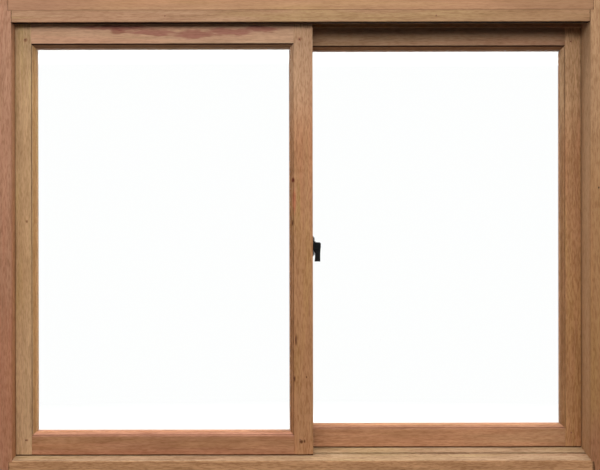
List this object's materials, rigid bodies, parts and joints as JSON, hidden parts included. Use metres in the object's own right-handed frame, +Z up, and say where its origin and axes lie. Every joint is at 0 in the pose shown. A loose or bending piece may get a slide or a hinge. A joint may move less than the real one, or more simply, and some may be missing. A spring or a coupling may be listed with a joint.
{
  "type": "sliding window",
  "caption": "Timber horizontal sliding window: glazed sashes with moulded sight edges run on rollers along the grooves of a sloping sill, and a black crescent latch locks the meeting stiles.",
  "frame": {"origin": "middle of the frame's underside, where the sill rests", "axes": "+X along the window's width to the right, seen from the latch side; +Y from the latch side through the window; +Z up"},
  "size_m": [1.51, 0.132, 1.2],
  "materials": {
    "frame_timber": "planed, thin clear oil",
    "sash_timber": "planed, thin clear oil",
    "sill_timber": "planed, thin clear oil",
    "glass": "clear float glass",
    "black_metal": "satin black",
    "nail_steel": "dull, darkened",
    "steel": "zinc plated",
    "nylon": "matte"
  },
  "bodies": {
    "frame": {"jamb_left": "frame_timber", "jamb_right": "frame_timber", "head": "frame_timber", "sill": "sill_timber", "head_bead_front": "frame_timber", "head_parting_bead": "frame_timber", "head_bead_rear": "frame_timber", "frame_screws": "steel", "bead_nails": "nail_steel"},
    "front_sash": {"front_outer_stile": "sash_timber", "front_meeting_stile": "sash_timber", "front_top_rail": "sash_timber", "front_bottom_rail": "sash_timber", "front_glass": "glass", "front_glazing_bead_bottom": "sash_timber", "front_glazing_bead_top": "sash_timber", "front_glazing_bead_left": "sash_timber", "front_glazing_bead_right": "sash_timber", "front_corner_pins": "nail_steel", "front_roller_housings": "steel", "front_roller_axles": "steel", "latch_plate": "black_metal", "latch_screws": "black_metal", "latch_pivot": "black_metal"},
    "rear_sash": {"rear_outer_stile": "sash_timber", "rear_meeting_stile": "sash_timber", "rear_top_rail": "sash_timber", "rear_bottom_rail": "sash_timber", "rear_glass": "glass", "rear_glazing_bead_bottom": "sash_timber", "rear_glazing_bead_top": "sash_timber", "rear_glazing_bead_left": "sash_timber", "rear_glazing_bead_right": "sash_timber", "rear_corner_pins": "nail_steel", "rear_roller_housings": "steel", "rear_roller_axles": "steel", "keeper": "black_metal", "keeper_screws": "black_metal"},
    "latch": {"latch_cam": "black_metal", "latch_lever": "black_metal"},
    "front_left_wheel": {"front_roller_left": "nylon"},
    "front_right_wheel": {"front_roller_right": "nylon"},
    "rear_left_wheel": {"rear_roller_left": "nylon"},
    "rear_right_wheel": {"rear_roller_right": "nylon"}
  },
  "joints": [
    {"name": "front_slide", "type": "slide", "parent": "frame", "child": "front_sash", "axis": [1, 0, 0], "range_m": [0, 0.665]},
    {"name": "rear_slide", "type": "slide", "parent": "frame", "child": "rear_sash", "axis": [-1, 0, 0], "range_m": [0, 0.688]},
    {"name": "latch_turn", "type": "hinge", "parent": "front_sash", "child": "latch", "pos_m": [0.0344, -0.0215, 0.577], "axis": [-1, 0, 0], "range_deg": [0, 180]},
    {"name": "front_left_roll", "type": "hinge", "parent": "front_sash", "child": "front_left_wheel", "pos_m": [-0.5985, -0.027, 0.05988], "axis": [0, 1, 0], "range_deg": [0, 2725]},
    {"name": "front_right_roll", "type": "hinge", "parent": "front_sash", "child": "front_right_wheel", "pos_m": [-0.09, -0.027, 0.05988], "axis": [0, 1, 0], "range_deg": [0, 2725]},
    {"name": "rear_left_roll", "type": "hinge", "parent": "rear_sash", "child": "rear_left_wheel", "pos_m": [0.09, 0.016, 0.06824], "axis": [0, 1, 0], "range_deg": [-2820, 0]},
    {"name": "rear_right_roll", "type": "hinge", "parent": "rear_sash", "child": "rear_right_wheel", "pos_m": [0.5985, 0.016, 0.06824], "axis": [0, 1, 0], "range_deg": [-2820, 0]}
  ],
  "couplings": [
    {"joint": "front_left_roll", "follows": "front_slide", "rad_per_m": 71.429},
    {"joint": "front_right_roll", "follows": "front_slide", "rad_per_m": 71.429},
    {"joint": "rear_left_roll", "follows": "rear_slide", "rad_per_m": -71.429},
    {"joint": "rear_right_roll", "follows": "rear_slide", "rad_per_m": -71.429}
  ]
}
